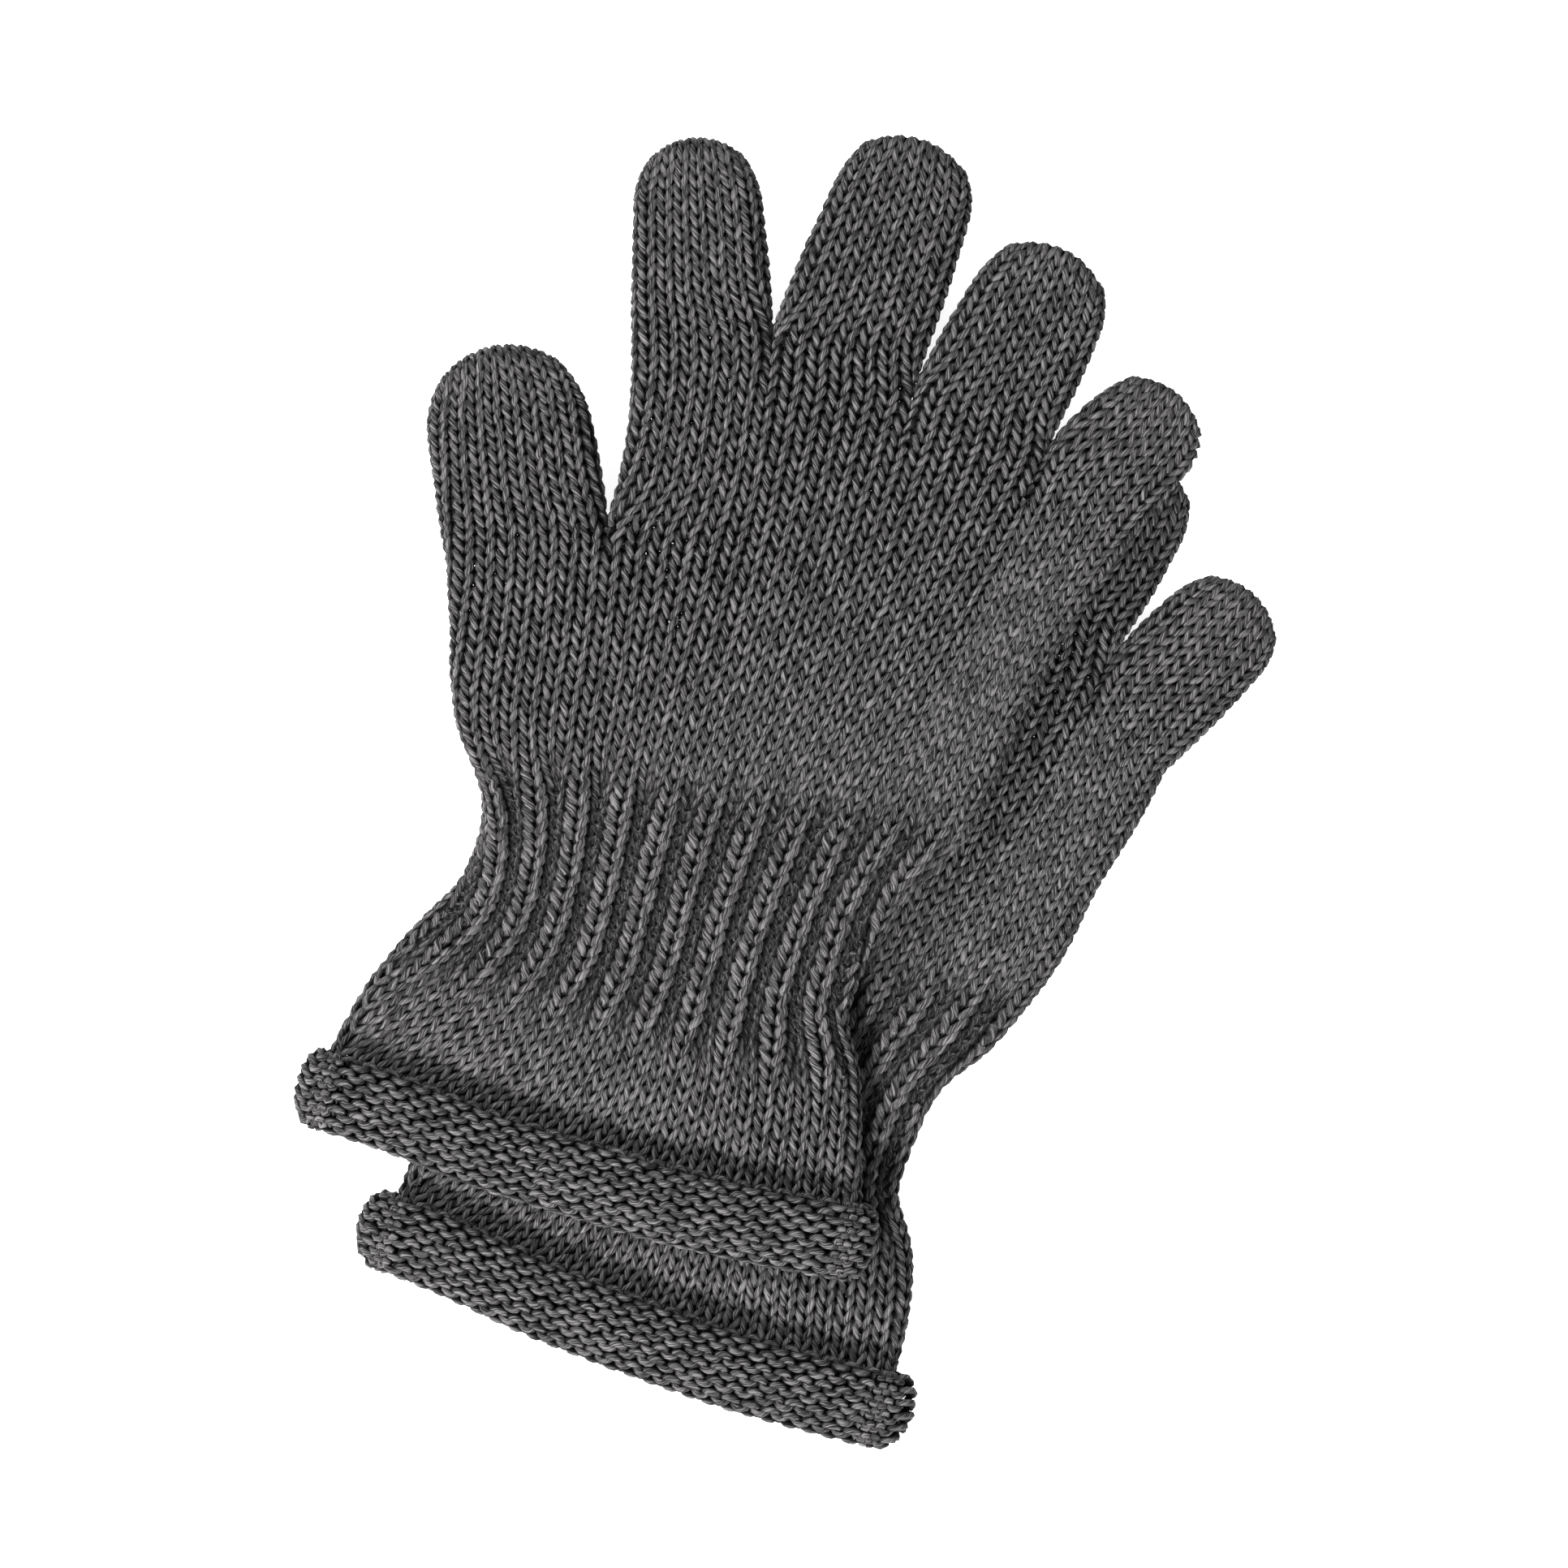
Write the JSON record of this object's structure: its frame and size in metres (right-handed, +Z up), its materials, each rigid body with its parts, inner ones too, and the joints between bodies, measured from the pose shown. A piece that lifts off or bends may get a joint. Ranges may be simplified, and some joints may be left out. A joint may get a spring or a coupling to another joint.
{
  "type": "pair of knitted gloves",
  "caption": "Pair of chunky hand-knitted style gloves in charcoal heather yarn, laid palm to palm, with a ribbed wrist, a flared cuff and a rolled hem",
  "frame": {"origin": "middle of the pair's footprint, on the surface the gloves lie on", "axes": "+Z up; +Y from the cuffs to the fingertips along the upper glove; both thumbs on the -X side"},
  "size_m": [0.1844, 0.2674, 0.0216],
  "materials": {
    "charcoal_yarn": "soft matt heather-grey yarn, knitted"
  },
  "bodies": {
    "lower_glove": {"lower_hand": "charcoal_yarn", "lower_wrist_rib": "charcoal_yarn", "lower_cuff": "charcoal_yarn", "lower_thumb": "charcoal_yarn", "lower_index_finger": "charcoal_yarn", "lower_middle_finger": "charcoal_yarn", "lower_ring_finger": "charcoal_yarn"},
    "lower_little_tube": {"lower_little_finger": "charcoal_yarn"},
    "lower_hem_roll": {"lower_rolled_hem": "charcoal_yarn"},
    "upper_glove": {"upper_hand": "charcoal_yarn", "upper_wrist_rib": "charcoal_yarn"},
    "upper_cuff_and_hem": {"upper_cuff": "charcoal_yarn", "upper_rolled_hem": "charcoal_yarn"},
    "upper_thumb_tube": {"upper_thumb": "charcoal_yarn"},
    "upper_index_tube": {"upper_index_finger": "charcoal_yarn"},
    "upper_middle_tube": {"upper_middle_finger": "charcoal_yarn"},
    "upper_ring_tube": {"upper_ring_finger": "charcoal_yarn"},
    "upper_little_tube": {"upper_little_finger": "charcoal_yarn"}
  },
  "joints": [
    {"name": "upper_glove_lift", "type": "slide", "parent": "lower_glove", "child": "upper_glove", "axis": [0, 0, 1], "range_m": [0, 0.15]},
    {"name": "upper_thumb_fold", "type": "hinge", "parent": "upper_glove", "child": "upper_thumb_tube", "pos_m": [-0.06535, 0.0295, 0.0172], "axis": [0.9135, 0.4067, 0], "range_deg": [0, 90]},
    {"name": "upper_index_fold", "type": "hinge", "parent": "upper_glove", "child": "upper_index_tube", "pos_m": [-0.0386, 0.06803, 0.0172], "axis": [0.9622, 0.2723, 0], "range_deg": [0, 90]},
    {"name": "upper_middle_fold", "type": "hinge", "parent": "upper_glove", "child": "upper_middle_tube", "pos_m": [-0.01149, 0.07153, 0.0172], "axis": [0.9999, -0.014, 0], "range_deg": [0, 90]},
    {"name": "upper_ring_fold", "type": "hinge", "parent": "upper_glove", "child": "upper_ring_tube", "pos_m": [0.01655, 0.06627, 0.0172], "axis": [0.9848, -0.1736, 0], "range_deg": [0, 90]},
    {"name": "upper_little_fold", "type": "hinge", "parent": "upper_glove", "child": "upper_little_tube", "pos_m": [0.04306, 0.05903, 0.0172], "axis": [0.9205, -0.3907, 0], "range_deg": [0, 90]},
    {"name": "upper_cuff_fold", "type": "hinge", "parent": "upper_glove", "child": "upper_cuff_and_hem", "pos_m": [-0.01944, -0.04892, 0.0172], "axis": [-1, 0.0033, 0], "range_deg": [0, 90]},
    {"name": "lower_little_fold", "type": "hinge", "parent": "lower_glove", "child": "lower_little_tube", "pos_m": [0.06638, 0.02423, 0.0086], "axis": [0.8746, -0.4848, 0], "range_deg": [0, 90]},
    {"name": "lower_hem_fold", "type": "hinge", "parent": "lower_glove", "child": "lower_hem_roll", "pos_m": [-0.00049, -0.11362, 0.0086], "axis": [-0.9978, 0.0656, 0], "range_deg": [0, 90]}
  ]
}
